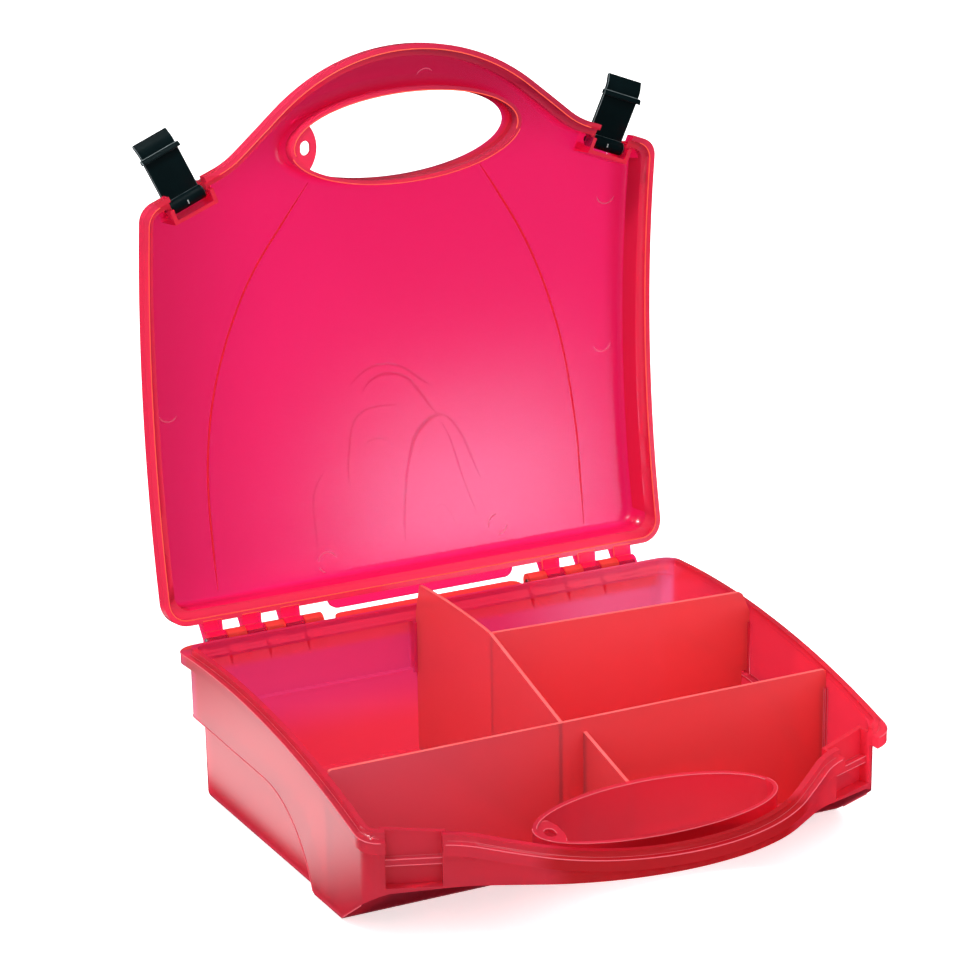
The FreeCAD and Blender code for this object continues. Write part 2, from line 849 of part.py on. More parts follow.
left_hinge_pin = hinge_pin("left_hinge_pin", -hinge_start - hinge_length)
right_hinge_pin = hinge_pin("right_hinge_pin", hinge_start)


# Latches, drawn hanging closed below their pivots and swung out to their rest

def latch_plate(name):
    outer = -size("barrel_diameter") / 2
    inner = outer + size("latch_thickness")
    tip = -size("latch_length")
    bend = tip + size("finger_lip_length")
    edge = size("finger_lip_edge")
    corners = [
        Vector(outer, 0, 0),
        Vector(outer, bend, 0),
        Vector(outer - size("finger_lip_reach"), tip, 0),
        Vector(outer - edge, tip - edge, 0),
        Vector(inner, bend - edge, 0),
        Vector(inner, 0, 0),
    ]
    bend_radius = size("finger_bend_radius")
    edge_radius = size("latch_edge_radius")
    radii = [0, bend_radius, edge_radius, edge_radius, bend_radius + size("latch_thickness"), 0]
    plane = Placement(Vector(-size("barrel_length") / 2, 0, 0), side_plane.Rotation)
    profile = sketch(name + "_profile", rounded_polygon(corners, radii), plane)
    return extrusion(name, profile, Vector(1, 0, 0), "Sizes.barrel_length")


def latch_hook(name):
    face = size("latch_thickness") - size("barrel_diameter") / 2
    reach = face + size("hook_depth")
    corners = [
        Vector(face - root, hook_top, 0),
        Vector(face - root, hook_foot, 0),
        Vector(reach - size("hook_slope"), hook_foot, 0),
        Vector(reach, hook_top, 0),
    ]
    edge_radius = size("latch_edge_radius")
    plane = Placement(Vector(-size("hook_width") / 2, 0, 0), side_plane.Rotation)
    profile = sketch(name + "_profile", rounded_polygon(corners, [0, 0, edge_radius, edge_radius]), plane)
    return extrusion(name, profile, Vector(1, 0, 0), "Sizes.hook_width")


def latch(name, frame, lean):
    barrel_place = Placement(Vector(-size("barrel_length") / 2, 0, 0), across)
    barrel = cylinder(name + "_barrel", "Sizes.barrel_diameter / 2", "Sizes.barrel_length", barrel_place)
    reach = size("notch_half_width") + size("trunnion_reach")
    trunnion_place = Placement(Vector(-reach, 0, 0), across)
    trunnion = cylinder(name + "_trunnion", "Sizes.pin_diameter / 2", length_text(2 * reach), trunnion_place)
    item = fuse(name, [barrel, trunnion, latch_plate(name + "_plate"), latch_hook(name + "_hook")])
    swing = Placement(Vector(0, 0, 0), Rotation(Vector(1, 0, 0), -lean))
    item.Placement = lid_open.multiply(frame).multiply(swing)
    return item


left_latch = latch("left_latch", frames["left"], size("left_latch_lean"))
right_latch = latch("right_latch", frames["right"], size("right_latch_lean"))


# Dividers, standing on the tray's floor and fitted to its drafted walls

clearance = size("divider_clearance")
low_wall = half_width - size("low_inset") - wall
rise = size("divider_rise")
foot_radius = size("divider_foot_radius")
top_radius = size("divider_top_radius")


def fit_at(wall_place, height):
    draft = size("tray_draft") * (high_end - height) / (high_end - low_end)
    return wall_place - clearance - draft


def front_plane(place):
    return Placement(Vector(0, place, 0), Rotation(Vector(1, 0, 0), 90))


def middle_plane(place):
    return Placement(Vector(place, 0, 0), side_plane.Rotation)


def divider(name, geometry, placement, direction):
    profile = sketch(name + "_profile", geometry, placement)
    half = "Sizes.divider_thickness / 2"
    return extrusion(name, profile, direction, half, half)


front_corners = [
    Vector(-fit_at(side_wall, wall), wall, 0),
    Vector(fit_at(side_wall, wall), wall, 0),
    Vector(fit_at(side_wall, front_top), front_top, 0),
    Vector(-fit_at(side_wall, front_top), front_top, 0),
]
front_radii = [foot_radius, foot_radius, top_radius, top_radius]
front_divider = divider(
    "front_divider",
    rounded_polygon(front_corners, front_radii),
    front_plane(front_place),
    Vector(0, 1, 0),
)

crown_rear = rear_wall - clearance - size("divider_ease")
crown = arc_between(rim_centre, size("rim_radius") + rise, crown_rear, right_y, True)
partition_front = front_place + half_thick
partition_corners = [
    crown.EndPoint,
    Vector(partition_front, front_top, 0),
    Vector(partition_front, wall, 0),
    Vector(fit_at(rear_wall, wall), wall, 0),
    Vector(fit_at(rear_wall, rear_rim), rear_rim, 0),
    crown.StartPoint,
]
partition_edges = [Part.LineSegment(a, b) for a, b in zip(partition_corners, partition_corners[1:])]
centre_partition = divider(
    "centre_partition", [crown] + partition_edges, middle_plane(partition_x), Vector(1, 0, 0)
)

right_step = ledge_height(right_y) + 2 * wall
right_rim = rim_height(right_y)
right_start = partition_x + half_thick
right_corners = [
    Vector(right_start, wall, 0),
    Vector(fit_at(low_wall, wall), wall, 0),
    Vector(fit_at(low_wall, right_step), right_step, 0),
    Vector(fit_at(side_wall, right_step), right_step, 0),
    Vector(fit_at(side_wall, right_rim), right_rim, 0),
    Vector(side_wall - clearance - size("divider_ease"), right_rim + rise - size("right_divider_drop"), 0),
    Vector(right_start, right_rim + rise, 0),
]
right_radii = [0, foot_radius, 0, 0, 0, 2 * top_radius, 0]
right_divider = divider(
    "right_divider", rounded_polygon(right_corners, right_radii), front_plane(right_y), Vector(0, 1, 0)
)

sink = size("front_partition_sink")
short_rear = front_place - half_thick
short_front = oval_centre.y + size("oval_half_depth") + wall + clearance
floor_end = -floor_front + wall * math.tan(skirt_angle / 2)
short_corners = [
    Vector(short_rear, wall, 0),
    Vector(short_rear, rim_height(short_rear) - sink, 0),
    Vector(short_front, rim_height(short_front) - sink, 0),
    Vector(short_front, wall + (floor_end - short_front) * math.tan(skirt_angle), 0),
    Vector(floor_end, wall, 0),
]
front_partition = divider("front_partition", sharp_polygon(short_corners), middle_plane(0), Vector(1, 0, 0))

doc.recompute()

sub_parts = [
    base_shell,
    lid_shell,
    left_hinge_pin,
    right_hinge_pin,
    left_latch,
    right_latch,
    front_divider,
    centre_partition,
    right_divider,
    front_partition,
]

for item in doc.Objects:
    if "Invalid" in item.State or "Error" in item.State:
        raise RuntimeError("%s did not compute: %s" % (item.Label, item.State))

for item in sub_parts:
    shape = item.Shape
    if shape.isNull() or not shape.isValid() or len(shape.Solids) != 1:
        raise RuntimeError("%s is not one sound solid (%d)" % (item.Label, len(shape.Solids)))
    print(item.Label, round(shape.Volume))

os.makedirs("parts", exist_ok=True)
for item in sub_parts:
    item.Shape.exportStep("parts/%s.step" % item.Label)
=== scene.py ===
import json
import math

import bmesh
import bpy
from mathutils import Matrix, Vector
from mathutils.bvhtree import BVHTree


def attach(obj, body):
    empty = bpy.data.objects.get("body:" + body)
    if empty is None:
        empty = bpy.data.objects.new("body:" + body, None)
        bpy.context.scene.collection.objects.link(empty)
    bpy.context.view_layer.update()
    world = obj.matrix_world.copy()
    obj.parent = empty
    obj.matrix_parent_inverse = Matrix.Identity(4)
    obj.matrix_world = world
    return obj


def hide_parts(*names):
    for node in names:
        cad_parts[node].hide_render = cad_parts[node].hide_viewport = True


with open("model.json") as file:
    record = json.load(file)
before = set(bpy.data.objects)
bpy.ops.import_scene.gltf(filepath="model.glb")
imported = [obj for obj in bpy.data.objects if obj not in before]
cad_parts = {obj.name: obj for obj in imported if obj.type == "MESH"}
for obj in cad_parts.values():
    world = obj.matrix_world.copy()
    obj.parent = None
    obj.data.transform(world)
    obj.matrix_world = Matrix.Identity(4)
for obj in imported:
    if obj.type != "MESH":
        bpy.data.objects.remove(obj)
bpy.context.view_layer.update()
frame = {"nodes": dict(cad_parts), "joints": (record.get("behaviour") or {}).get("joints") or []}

joints = {joint["name"]: joint for joint in frame["joints"]}
scene = bpy.context.scene
scene.view_settings.view_transform = "Standard"


# Camera at the photograph's angle

photoView = {
    "imageSize": 960,  # pixels each way
    "focalPixels": 3914.55,
    "azimuth": -26.66,
    "elevation": 18.32,
    "roll": -0.82,
    "target": Vector((-0.01394, 0.00791, 0.16756)),
    "distance": 1.8759,
    "sensorWidth": 36,
    "farClip": 50,
}


def placeCamera():
    azimuth = math.radians(photoView["azimuth"])
    elevation = math.radians(photoView["elevation"])
    back = Vector(
        (
            math.sin(azimuth) * math.cos(elevation),
            -math.cos(azimuth) * math.cos(elevation),
            math.sin(elevation),
        )
    )
    level = Vector((math.cos(azimuth), math.sin(azimuth), 0))
    right = Matrix.Rotation(math.radians(photoView["roll"]), 3, back) @ level
    up = back.cross(right)
    data = bpy.data.cameras.new("photoCamera")
    data.sensor_width = photoView["sensorWidth"]
    data.lens = photoView["sensorWidth"] * photoView["focalPixels"] / photoView["imageSize"]
    data.clip_end = photoView["farClip"]
    camera = bpy.data.objects.new("photoCamera", data)
    scene.collection.objects.link(camera)
    axes = Matrix((right, up, back)).transposed().to_4x4()
    camera.matrix_world = Matrix.Translation(photoView["target"] + back * photoView["distance"]) @ axes
    scene.camera = camera


placeCamera()
print("camera placed")


# White room: floor, sky and soft lamps

room = {
    "floorSize": 6.0,
    "floorColour": (0.94, 0.94, 0.94, 1.0),
    "floorRoughness": 0.9,
    "floorLift": 0.6,  # whitens the open floor for the camera
    "white": (1.0, 1.0, 1.0, 1.0),
    "skyStrength": 1.3,
    "floorBehind": 1.0,  # the floor as seen through the lid
    "floorUnder": 1.28,  # the floor as seen through the tray
    "floorAhead": 0.5,  # the floor as seen through the grip
    "floorMirrored": 1.9,  # the floor on the left as seen in reflections
}
floorZones = {
    # axis, start and end of each soft border on the floor
    "beside": ("X", -0.146, -0.136),
    "ahead": ("Y", -0.08, 0.02),
    "level": ("Y", 0.12, 0.32),
    "near": ("Y", 0.28, 0.42),
    "under": ("Y", -0.13, -0.06),
}
skyBands = {
    # axis, start, end, then strength in front of the case and behind it
    "mirrored": ("Y", -0.75, 0.1, 0.02, 0.06),
    "behind": ("Y", -0.5, 0.3, 0.6, 1.0),
}
lamps = [
    # name, place, aimed at, size, spread, power, colour
    ("frontSoftbox", (0.30, -0.43, 0.112), (0.05, 0.11, 0.13), 0.16, 22, 0.0105, (0.4, 0.74, 1.0)),
    ("archGlint", (-0.43, -0.09, 0.99), (-0.045, 0.115, 0.335), 0.1, 22, 0.065, (1.0, 1.0, 1.0)),
    ("gripFill", (0.25, -0.5, 0.6), (0.07, -0.11, 0.03), 0.3, 22, 0.03, (1.0, 0.22, 0.26)),
    ("upperLeftSoftbox", (-0.62, -0.2, 1.25), (0.0, 0.0, 0.1), 0.3, 160, 6.0, (1.0, 1.0, 1.0)),
]


def ramp(tree, place, axis, start, end, low, high):
    split = tree.nodes.new("ShaderNodeSeparateXYZ")
    tree.links.new(place, split.inputs["Vector"])
    shade = tree.nodes.new("ShaderNodeMapRange")
    shade.interpolation_type = "SMOOTHSTEP"
    shade.inputs["From Min"].default_value = start
    shade.inputs["From Max"].default_value = end
    shade.inputs["To Min"].default_value = low
    shade.inputs["To Max"].default_value = high
    tree.links.new(split.outputs[axis], shade.inputs["Value"])
    return shade.outputs["Result"]


def choose(tree, factor, first, second):
    pick = tree.nodes.new("ShaderNodeMix")
    tree.links.new(factor, pick.inputs[0])
    for socket, value in ((pick.inputs[2], first), (pick.inputs[3], second)):
        if isinstance(value, float):
            socket.default_value = value
        else:
            tree.links.new(value, socket)
    return pick.outputs[0]


def paintSky():
    world = bpy.data.worlds.new("whiteRoom")
    scene.world = world
    world.use_nodes = True
    tree = world.node_tree
    background = tree.nodes["Background"]
    background.inputs["Color"].default_value = room["white"]
    place = tree.nodes.new("ShaderNodeTexCoord").outputs["Generated"]
    mirrored = ramp(tree, place, *skyBands["mirrored"])
    behind = ramp(tree, place, *skyBands["behind"])
    path = tree.nodes.new("ShaderNodeLightPath")
    strength = choose(tree, path.outputs["Is Diffuse Ray"], 1.0, room["skyStrength"])
    strength = choose(tree, path.outputs["Is Glossy Ray"], strength, mirrored)
    strength = choose(tree, path.outputs["Is Transmission Ray"], strength, behind)
    tree.links.new(strength, background.inputs["Strength"])


def floorGlow(tree, path):
    place = tree.nodes.new("ShaderNodeTexCoord").outputs["Object"]
    beside = ramp(tree, place, *floorZones["beside"], room["floorMirrored"], 0.0)
    ahead = ramp(tree, place, *floorZones["ahead"], 0.0, 1.0)
    level = ramp(tree, place, *floorZones["level"], 1.0, 0.0)
    mirrored = choose(tree, level, 0.0, choose(tree, ahead, 0.0, beside))
    near = ramp(tree, place, *floorZones["near"], 1.0, 0.0)
    under = ramp(tree, place, *floorZones["under"], room["floorAhead"], room["floorUnder"])
    behind = choose(tree, near, room["floorBehind"], under)
    glow = tree.nodes.new("ShaderNodeEmission")
    seen = choose(tree, path.outputs["Is Transmission Ray"], mirrored, behind)
    tree.links.new(seen, glow.inputs["Strength"])
    return glow


def paintFloor():
    material = bpy.data.materials.new("floorPaper")
    material.use_nodes = True
    tree = material.node_tree
    paper = tree.nodes["Principled BSDF"]
    paper.inputs["Base Color"].default_value = room["floorColour"]
    paper.inputs["Roughness"].default_value = room["floorRoughness"]
    paper.inputs["Specular IOR Level"].default_value = 0.0
    paper.inputs["Emission Color"].default_value = room["white"]
    path = tree.nodes.new("ShaderNodeLightPath")
    lift = choose(tree, path.outputs["Is Camera Ray"], 0.0, room["floorLift"])
    tree.links.new(lift, paper.inputs["Emission Strength"])
    glow = floorGlow(tree, path)
    either = tree.nodes.new("ShaderNodeMath")
    either.operation = "MAXIMUM"
    tree.links.new(path.outputs["Is Glossy Ray"], either.inputs[0])
    tree.links.new(path.outputs["Is Transmission Ray"], either.inputs[1])
    mix = tree.nodes.new("ShaderNodeMixShader")
    tree.links.new(either.outputs[0], mix.inputs[0])
    tree.links.new(paper.outputs[0], mix.inputs[1])
    tree.links.new(glow.outputs[0], mix.inputs[2])
    tree.links.new(mix.outputs[0], tree.nodes["Material Output"].inputs["Surface"])
    return material


def layFloor():
    mesh = bpy.data.meshes.new("floor")
    shape = bmesh.new()
    bmesh.ops.create_grid(shape, x_segments=1, y_segments=1, size=room["floorSize"] / 2)
    shape.to_mesh(mesh)
    shape.free()
    mesh.materials.append(paintFloor())
    floor = bpy.data.objects.new("floor", mesh)
    scene.collection.objects.link(floor)


def hangLamps():
    for name, place, aim, size, spread, power, colour in lamps:
        data = bpy.data.lights.new(name, "AREA")
        data.shape = "DISK"
        data.size = size
        data.spread = math.radians(spread)
        data.energy = power
        data.color = colour
        lamp = bpy.data.objects.new(name, data)
        lamp.location = place
        lamp.visible_camera = False
        lamp.rotation_euler = (Vector(aim) - Vector(place)).to_track_quat("-Z", "Y").to_euler()
        scene.collection.objects.link(lamp)


paintSky()
layFloor()
hangLamps()
print("room ready")


# Moulded plastics

moulding = {"ior": 1.06, "coatRoughness": 0.24, "cloudScale": 9.0, "cloudDetail": 3.0}
plastics = {
    # paintedLightAndTints: colour, then ramps of axis, start, end, amount at either end. Most entries are
    # painted shade or painted highlights
    "trayPlastic": {
        "deep": (0.91, 0.034, 0.07),
        "light": (0.95, 0.045, 0.1),
        "clear": 0.62,
        "roughness": 0.28,
        "coat": 1.0,
        "absorbed": (0.999, 0.9, 0.9),
        "density": 400,
        "paintedLightAndTints": [
            ((0.58, 0.036, 0.075), ("X", -0.13, 0.04, 0.5, 0.0), ("Y", 0.07, 0.09, 1.0, 0.4)),  # left side: painted shade, darker towards the left
            ((0.8, 0.05, 0.24), ("Y", 0.077, 0.084, 0.0, 0.7), ("Z", 0.015, 0.045, 0.0, 1.0)),  # rear wall: painted sheen, a magenta patch on its inside
            ((0.98, 0.22, 0.45), ("X", 0.03, 0.1, 0.0, 0.75), ("Y", 0.077, 0.084, 0.0, 1.0)),  # its right end: painted highlight, a pale pink band in the rear right corner
            ((0.96, 0.06, 0.05), ("Y", 0.089, 0.092, 0.0, 1.0), ("Z", 0.06, 0.064, 0.0, 1.0)),  # hinges
            ((0.6, 0.004, 0.01), ("Y", -0.164, -0.155, 0.85, 0.0)),  # grip: painted shade, darker towards the front
            (
                (0.66, 0.03, 0.07),  # right wall: painted shade
                ("X", 0.115, 0.125, 0.0, 0.4),
                ("Y", -0.05, -0.035, 0.0, 1.0),
                ("Y", 0.04, 0.06, 1.0, 0.0),
            ),
            (
                (0.36, 0.036, 0.07),  # undercut front: painted shade, low on the front at the left
                ("Z", 0.02, 0.028, 0.7, 0.0),
                ("Y", -0.085, -0.078, 1.0, 0.0),
                ("X", -0.128, -0.12, 0.0, 1.0),
            ),
        ],
    },
    "lidPlastic": {
        "deep": (0.95, 0.018, 0.2),
        "light": (0.97, 0.024, 0.24),
        "clear": 0.88,
        "roughness": 0.2,
        "coat": 1.0,
        "absorbed": (0.994, 0.36, 0.46),
        "density": 400,
        "paintedLightAndTints": [
            ((0.56, 0.018, 0.1), ("X", -0.135, -0.06, 0.5, 0.0), ("Y", 0.108, 0.114, 0.0, 1.0)),  # left edge: painted shade on the panel, darker towards the left
            ((0.5, 0.016, 0.08), ("Z", 0.285, 0.35, 0.0, 0.9), ("Y", 0.108, 0.114, 0.0, 1.0)),  # arch: painted shade in the trough under the arch
            ((0.72, 0.01, 0.1), ("X", 0.121, 0.13, 0.0, 0.6)),  # right wall: painted shade
        ],
    },
    "lidLipPlastic": {
        "deep": (0.93, 0.022, 0.085),
        "light": (0.96, 0.032, 0.11),
        "clear": 0.4,
        "roughness": 0.24,
        "coat": 1.0,
        "absorbed": (0.994, 0.8, 0.8),
        "density": 400,
        "paintedLightAndTints": [
            ((0.5, 0.016, 0.06), ("X", -0.09, 0.05, 0.15, 0.85), ("Z", 0.27, 0.32, 0.0, 1.0)),  # arch: painted shade on the lip under the arch, deeper towards the right
            ((0.7, 0.006, 0.04), ("X", 0.11, 0.13, 0.0, 0.5), ("Z", 0.27, 0.29, 1.0, 0.0)),  # right edge: painted shade
        ],
    },
    # painted shade: darker red for the lip's walls in the latch pockets
    "lidPocketShadePlastic": {
        "deep": (0.78, 0.014, 0.05),
        "light": (0.88, 0.022, 0.07),
        "clear": 0.4,
        "roughness": 0.24,
        "coat": 1.0,
        "absorbed": (0.994, 0.8, 0.8),
        "density": 400,
    },
    "dividerPlastic": {
        "deep": (0.94, 0.085, 0.09),
        "light": (0.97, 0.11, 0.12),
        "clear": 0.5,
        "roughness": 0.4,
        "coat": 0.4,
        "absorbed": (0.999, 0.9, 0.9),
        "density": 400,
        "paintedLightAndTints": [((0.68, 0.16, 0.27), ("X", -0.13, 0.05, 0.5, 0.05))],  # left side: painted shade, darker and hazier towards the left
    },
    "creasePlastic": {
        "deep": (0.93, 0.02, 0.05),
        "light": (0.96, 0.03, 0.06),
        "clear": 0.6,
        "roughness": 0.3,
        "coat": 0.4,
        "absorbed": (0.994, 0.5, 0.5),
        "density": 200,
    },
    "flowPlastic": {
        "deep": (0.95, 0.13, 0.42),
        "light": (0.97, 0.16, 0.48),
        "clear": 0.93,
        "roughness": 0.2,
        "coat": 0.6,
        "absorbed": (0.994, 0.5, 0.5),
        "density": 100,
    },
    "ejectorPlastic": {
        "deep": (0.95, 0.12, 0.26),
        "light": (0.97, 0.18, 0.32),
        "clear": 0.4,
        "roughness": 0.3,
        "coat": 0.4,
        "absorbed": (0.994, 0.8, 0.8),
        "density": 200,
    },
    # painted highlights: pale strips along the dividers' top edges
    "edgeHighlightPlastic": {
        "deep": (0.93, 0.08, 0.08),
        "light": (0.96, 0.21, 0.21),
        "clear": 0.2,
        "roughness": 0.5,
        "coat": 0.1,
        "absorbed": (0.999, 0.9, 0.9),
        "density": 400,
        "cloudScale": 60.0,
    },
    # painted highlights: orange lines along the lid's lip
    "lidRimHighlightPlastic": {
        "deep": (0.97, 0.08, 0.045),
        "light": (1.0, 0.15, 0.085),
        "clear": 0.1,
        "roughness": 0.3,
        "coat": 0.6,
        "absorbed": (0.999, 0.8, 0.8),
        "density": 200,
    },
    # painted highlights: pale lines along the tray's lip, ledges and catches
    "trayRimHighlightPlastic": {
        "deep": (0.9, 0.11, 0.15),
        "light": (0.93, 0.19, 0.26),
        "clear": 0.4,
        "roughness": 0.3,
        "coat": 0.6,
        "absorbed": (0.999, 0.9, 0.9),
        "density": 200,
    },
}


def cloudColour(tree, scale, detail, dark, pale):
    place = tree.nodes.new("ShaderNodeTexCoord").outputs["Object"]
    cloud = tree.nodes.new("ShaderNodeTexNoise")
    cloud.inputs["Scale"].default_value = scale
    cloud.inputs["Detail"].default_value = detail
    tree.links.new(place, cloud.inputs["Vector"])
    blend = tree.nodes.new("ShaderNodeMix")
    blend.data_type = "RGBA"
    blend.inputs[6].default_value = (*dark, 1)
    blend.inputs[7].default_value = (*pale, 1)
    tree.links.new(cloud.outputs["Fac"], blend.inputs[0])
    return place, blend.outputs[2]


# Blends painted shade, painted highlights and plain tints into the colour by position
def paintLightAndTints(tree, place, colour, paintedLightAndTints):
    for tint, first, *others in paintedLightAndTints:
        amount = ramp(tree, place, *first)
        for other in others:
            amount = choose(tree, ramp(tree, place, *other), 0.0, amount)
        blend = tree.nodes.new("ShaderNodeMix")
        blend.data_type = "RGBA"
        blend.inputs[7].default_value = (*tint, 1)
        tree.links.new(amount, blend.inputs[0])
        tree.links.new(colour, blend.inputs[6])
        colour = blend.outputs[2]
    return colour


def clearPlastic(name):
    settings = {**moulding, **plastics[name]}
    material = bpy.data.materials.new(name)
    material.use_nodes = True
    tree = material.node_tree
    place, colour = cloudColour(
        tree, settings["cloudScale"], settings["cloudDetail"], settings["deep"], settings["light"]
    )
    colour = paintLightAndTints(tree, place, colour, settings.get("paintedLightAndTints", []))
    shader = tree.nodes["Principled BSDF"]
    tree.links.new(colour, shader.inputs["Base Color"])
    shader.inputs["Transmission Weight"].default_value = settings["clear"]
    shader.inputs["Roughness"].default_value = settings["roughness"]
    shader.inputs["IOR"].default_value = settings["ior"]
    shader.inputs["Coat Weight"].default_value = settings["coat"]
    shader.inputs["Coat Roughness"].default_value = settings["coatRoughness"]
    volume = tree.nodes.new("ShaderNodeVolumeAbsorption")
    volume.inputs["Color"].default_value = (*settings["absorbed"], 1)
    volume.inputs["Density"].default_value = settings["density"]
    tree.links.new(volume.outputs["Volume"], tree.nodes["Material Output"].inputs["Volume"])
    return material


# Opaque finishes: the latches and the pins' wire

grainDetail = 4.0
grains = {
    "latchPlastic": {
        "dark": (0.0004, 0.003, 0.0038),
        "pale": (0.0012, 0.0072, 0.0085),
        "scale": 70,
        "roughness": 0.3,
        "metallic": 0,
        "specular": 0.2,
    },
    # wear, and a painted highlight, on the latches' rounded edges
    "wornAndHighlitLatch": {
        "dark": (0.008, 0.014, 0.015),
        "pale": (0.22, 0.27, 0.28),
        "scale": 90,
        "roughness": 0.42,
        "metallic": 0,
        "specular": 0.5,
    },
    "gateMark": {
        "dark": (0.2, 0.23, 0.23),
        "pale": (0.6, 0.64, 0.64),
        "scale": 900,
        "roughness": 0.5,
        "metallic": 0,
        "specular": 0.5,
    },
    "pinSteel": {
        "dark": (0.5, 0.5, 0.52),
        "pale": (0.68, 0.68, 0.7),
        "scale": 300,
        "roughness": 0.3,
        "metallic": 1,
        "specular": 0.5,
    },
}


def grainMaterial(name):
    settings = grains[name]
    material = bpy.data.materials.new(name)
    material.use_nodes = True
    tree = material.node_tree
    place, colour = cloudColour(tree, settings["scale"], grainDetail, settings["dark"], settings["pale"])
    shader = tree.nodes["Principled BSDF"]
    tree.links.new(colour, shader.inputs["Base Color"])
    shader.inputs["Metallic"].default_value = settings["metallic"]
    shader.inputs["Roughness"].default_value = settings["roughness"]
    shader.inputs["Specular IOR Level"].default_value = settings["specular"]
    return material


finishes = {
    "tray_plastic": clearPlastic("trayPlastic"),
    "lid_plastic": clearPlastic("lidPlastic"),
    "divider_plastic": clearPlastic("dividerPlastic"),
    "latch_plastic": grainMaterial("latchPlastic"),
    "pin_steel": grainMaterial("pinSteel"),
}


# Line along which the lid meets the tray, seen from the side

parting = {
    "hinge": Vector(joints["lid_hinge"]["pos_m"]),
    "opening": joints["lid_hinge"]["range_deg"][1],
    "crown": (0.044, 0.0775),
    "crownRadius": 0.57,
    "gripStart": -0.118,  # further forward the line bends down to the grip
    "gripLow": (-0.18, 0.0465),
    "gripBend": 2.0,
    "lipHeight": 0.0072,
    "lipRear": 0.09,
    "latchRoom": 0.0165,
}
shutTurn = Matrix.Rotation(math.radians(parting["opening"]), 3, "X")


def partingHeight(y):
    if y < parting["gripStart"]:
        lowest, height = parting["gripLow"]
        return height + parting["gripBend"] * (y - lowest) ** 2
    across, top = parting["crown"]
    return top - parting["crownRadius"] + math.sqrt(parting["crownRadius"] ** 2 - (y - across) ** 2)


def whenShut(point):
    return parting["hinge"] + shutTurn @ (point - parting["hinge"])


latchPlan = whenShut(Vector(joints["right_latch_pivot"]["pos_m"])).xy


def nearLatch(middle):
    return (Vector((abs(middle.x), middle.y)) - latchPlan).length < parting["latchRoom"]


# Smooth copies of the CAD shells

smoothing = {"merge": 2e-6, "flatAngle": 0.4, "sharpAngle": 24, "normalWeight": 100}
copies = [
    ("trayShell", "base_shell", "tray", "tray_plastic"),
    ("lidShell", "lid_shell", "lid", "lid_plastic"),
    ("leftLatchPlate", "left_latch", "left_latch", "latch_plastic"),
    ("rightLatchPlate", "right_latch", "right_latch", "latch_plastic"),
    ("frontDividerPlate", "front_divider", "tray", "divider_plastic"),
    ("centrePartitionPlate", "centre_partition", "tray", "divider_plastic"),
    ("rightDividerPlate", "right_divider", "tray", "divider_plastic"),
    ("frontPartitionPlate", "front_partition", "tray", "divider_plastic"),
    ("leftPinWire", "left_hinge_pin", "tray", "pin_steel"),
    ("rightPinWire", "right_hinge_pin", "tray", "pin_steel"),
]
lidTube = {"middle": (0, -0.1397), "reach": (0.075, 0.036), "slope": 0.16, "tolerance": 1e-6}
latchWearAndHighlight = {"edgeAngle": 35, "rounding": 0.00045}


def mergedNode(node):
    shape = bmesh.new()
    shape.from_mesh(frame["nodes"][node].data)
    bmesh.ops.remove_doubles(shape, verts=shape.verts, dist=smoothing["merge"])
    return shape


def toMesh(shape, name):
    mesh = bpy.data.meshes.new(name)
    shape.to_mesh(mesh)
    shape.free()
    return mesh


def shadeSmooth(mesh):
    for polygon in mesh.polygons:
        polygon.use_smooth = True


def addPiece(name, mesh, body):
    piece = bpy.data.objects.new(name, mesh)
    scene.collection.objects.link(piece)
    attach(piece, body)
    return piece


# A clean border on the oval tube between the lip's plastic and the lid's
def cutTube(shape):
    across, along = lidTube["middle"]
    wide, deep = lidTube["reach"]
    around = []
    for face in shape.faces:
        middle = whenShut(face.calc_center_median())
        if ((middle.x - across) / wide) ** 2 + ((middle.y - along) / deep) ** 2 < 1:
            around.append(face)
    edges = {edge for face in around for edge in face.edges}
    verts = {vert for face in around for vert in face.verts}
    spot = Vector((across, along, partingHeight(along) + parting["lipHeight"]))
    opened = shutTurn.inverted()
    bmesh.ops.bisect_plane(
        shape,
        geom=around + list(edges) + list(verts),
        dist=lidTube["tolerance"],
        plane_co=parting["hinge"] + opened @ (spot - parting["hinge"]),
        plane_no=opened @ Vector((0, -lidTube["slope"], 1)),
    )


def paintLip(mesh):
    # Lip faces take the lip's plastic; those in the latch pockets take the darker red of painted shade
    mesh.materials.append(clearPlastic("lidLipPlastic"))
    mesh.materials.append(clearPlastic("lidPocketShadePlastic"))
    for polygon in mesh.polygons:
        middle = whenShut(polygon.center)
        if middle.y < parting["lipRear"] and middle.z - partingHeight(middle.y) < parting["lipHeight"]:
            polygon.material_index = 2 if nearLatch(middle) else 1


# Rounded, lighter edges on the latches: wear, and a painted highlight along the edges
def wearAndHighlightEdges(shape):
    sharpAngle = math.radians(latchWearAndHighlight["edgeAngle"])
    sharp = []
    for edge in shape.edges:
        if len(edge.link_faces) == 2 and edge.calc_face_angle() > sharpAngle:
            sharp.append(edge)
    wornAndHighlit = bmesh.ops.bevel(
        shape,
        geom=sharp,
        offset=latchWearAndHighlight["rounding"],
        offset_type="OFFSET",
        affect="EDGES",
        segments=2,
        profile=0.5,
        clamp_overlap=True,
        material=-1,
    )
    for face in wornAndHighlit["faces"]:
        face.material_index = 1


